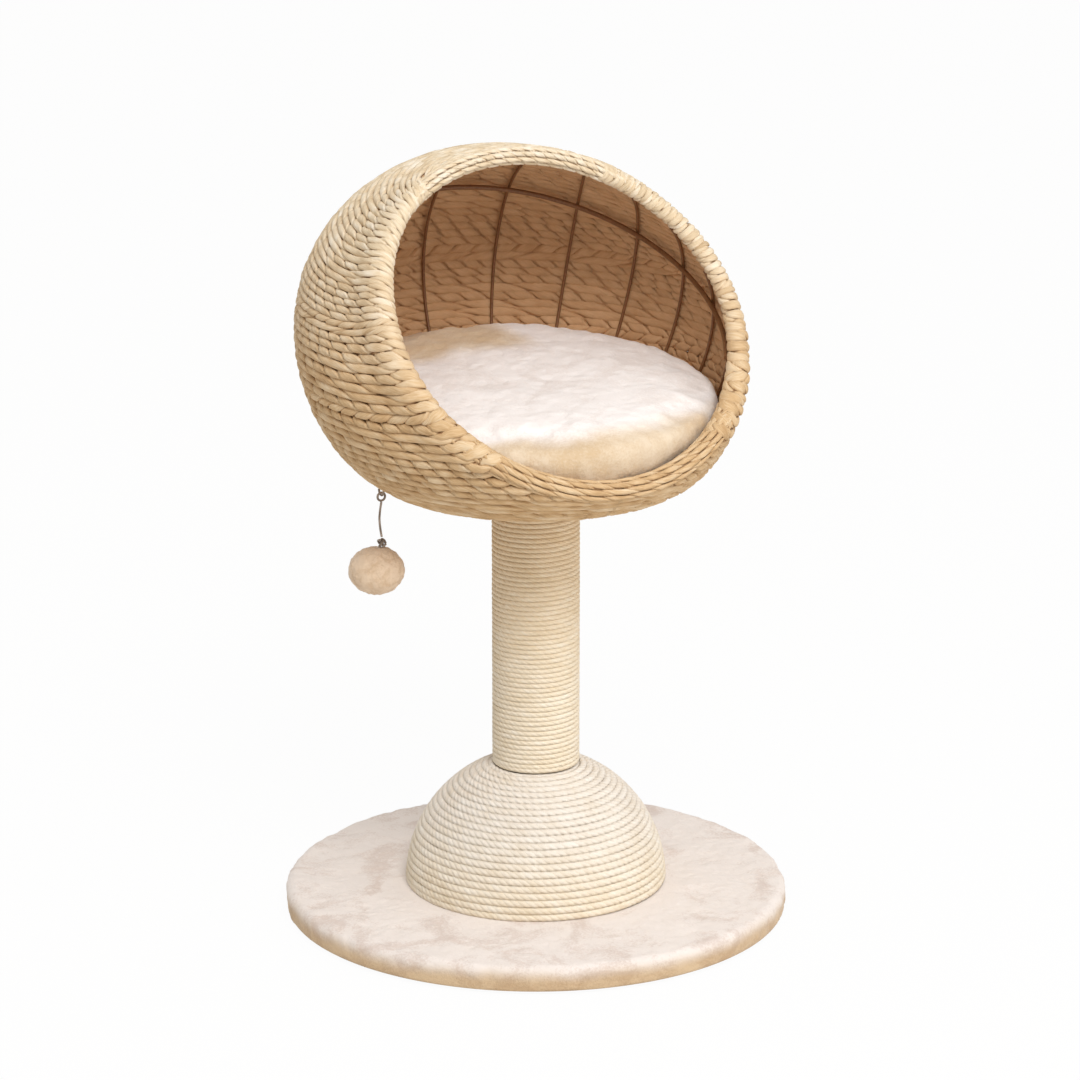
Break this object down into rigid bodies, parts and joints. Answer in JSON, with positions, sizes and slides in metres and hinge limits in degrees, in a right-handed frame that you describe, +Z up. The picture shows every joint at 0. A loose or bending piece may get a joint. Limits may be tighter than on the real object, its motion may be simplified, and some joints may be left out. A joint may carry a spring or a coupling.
{
  "type": "cat perch",
  "caption": "Cat perch: a hooded basket of woven rope with a plush cushion, on a sisal-wound post and dome over a round plush base, with a hanging toy ball.",
  "frame": {"origin": "on the floor, at the post's axis", "axes": "+Z up along the post, -Y out of the basket's mouth, +X across it, with the toy on the -X side"},
  "size_m": [0.4999, 0.5092, 0.759],
  "materials": {
    "fibreboard": "raw",
    "plywood": "raw",
    "base_plush": "short pile plush",
    "cushion_plush": "short pile plush",
    "fibre_filling": "loose fibre",
    "plated_steel": "zinc plated",
    "foam_rubber": "matt",
    "moulded_plastic": "matt",
    "sisal": "twisted sisal rope",
    "paper_tube": "spiral wound",
    "paper_rope": "twisted paper rope",
    "painted_wire": "brown paint",
    "toy_cord": "elastic cord",
    "toy_knot": "tied cord",
    "toy_plush": "plush"
  },
  "bodies": {
    "stand": {"arch_hoop": "painted_wire", "base_board": "fibreboard", "base_bolt": "plated_steel", "base_cover": "base_plush", "base_staples": "plated_steel", "base_washer": "plated_steel", "basket_bolt": "plated_steel", "basket_washer": "plated_steel", "basket_weave": "paper_rope", "dome_rope": "sisal", "dome_screws": "plated_steel", "dome_shell": "moulded_plastic", "floor_board": "plywood", "floor_ring": "painted_wire", "foot_pads": "foam_rubber", "mouth_binding": "paper_rope", "mouth_hoop": "painted_wire", "post_plug_bottom": "plywood", "post_plug_top": "plywood", "post_rope": "sisal", "post_tube": "paper_tube", "rib_01": "painted_wire", "rib_02": "painted_wire", "rib_03": "painted_wire", "rib_04": "painted_wire", "rib_05": "painted_wire", "rib_06": "painted_wire", "rib_07": "painted_wire", "rib_08": "painted_wire", "rib_09": "painted_wire", "rib_10": "painted_wire", "rib_11": "painted_wire", "rib_12": "painted_wire", "rib_13": "painted_wire", "rib_14": "painted_wire", "rib_15": "painted_wire", "rib_16": "painted_wire", "rib_17": "painted_wire", "rib_18": "painted_wire", "rib_19": "painted_wire", "rib_20": "painted_wire", "rib_21": "painted_wire", "rib_22": "painted_wire", "rib_23": "painted_wire", "rib_24": "painted_wire", "tee_nut_bottom": "plated_steel", "tee_nut_top": "plated_steel", "toy_anchor": "toy_cord"},
    "cushion": {"cushion_cover": "cushion_plush", "cushion_filling": "fibre_filling"},
    "toy_link": {"toy_link": "toy_cord"},
    "toy": {"toy_cord": "toy_cord", "toy_knot": "toy_knot", "toy_ball": "toy_plush"}
  },
  "joints": [
    {"name": "cushion_lift", "type": "slide", "parent": "stand", "child": "cushion", "axis": [0, 0.2425, 0.9701], "range_m": [0, 0.06]},
    {"name": "toy_link_swing", "type": "hinge", "parent": "stand", "child": "toy_link", "pos_m": [-0.151, 0.035, 0.4348], "axis": [0, 1, 0], "range_deg": [-40, 40]},
    {"name": "toy_swing", "type": "hinge", "parent": "toy_link", "child": "toy", "pos_m": [-0.151, 0.035, 0.4293], "axis": [1, 0, 0], "range_deg": [-40, 40]}
  ]
}
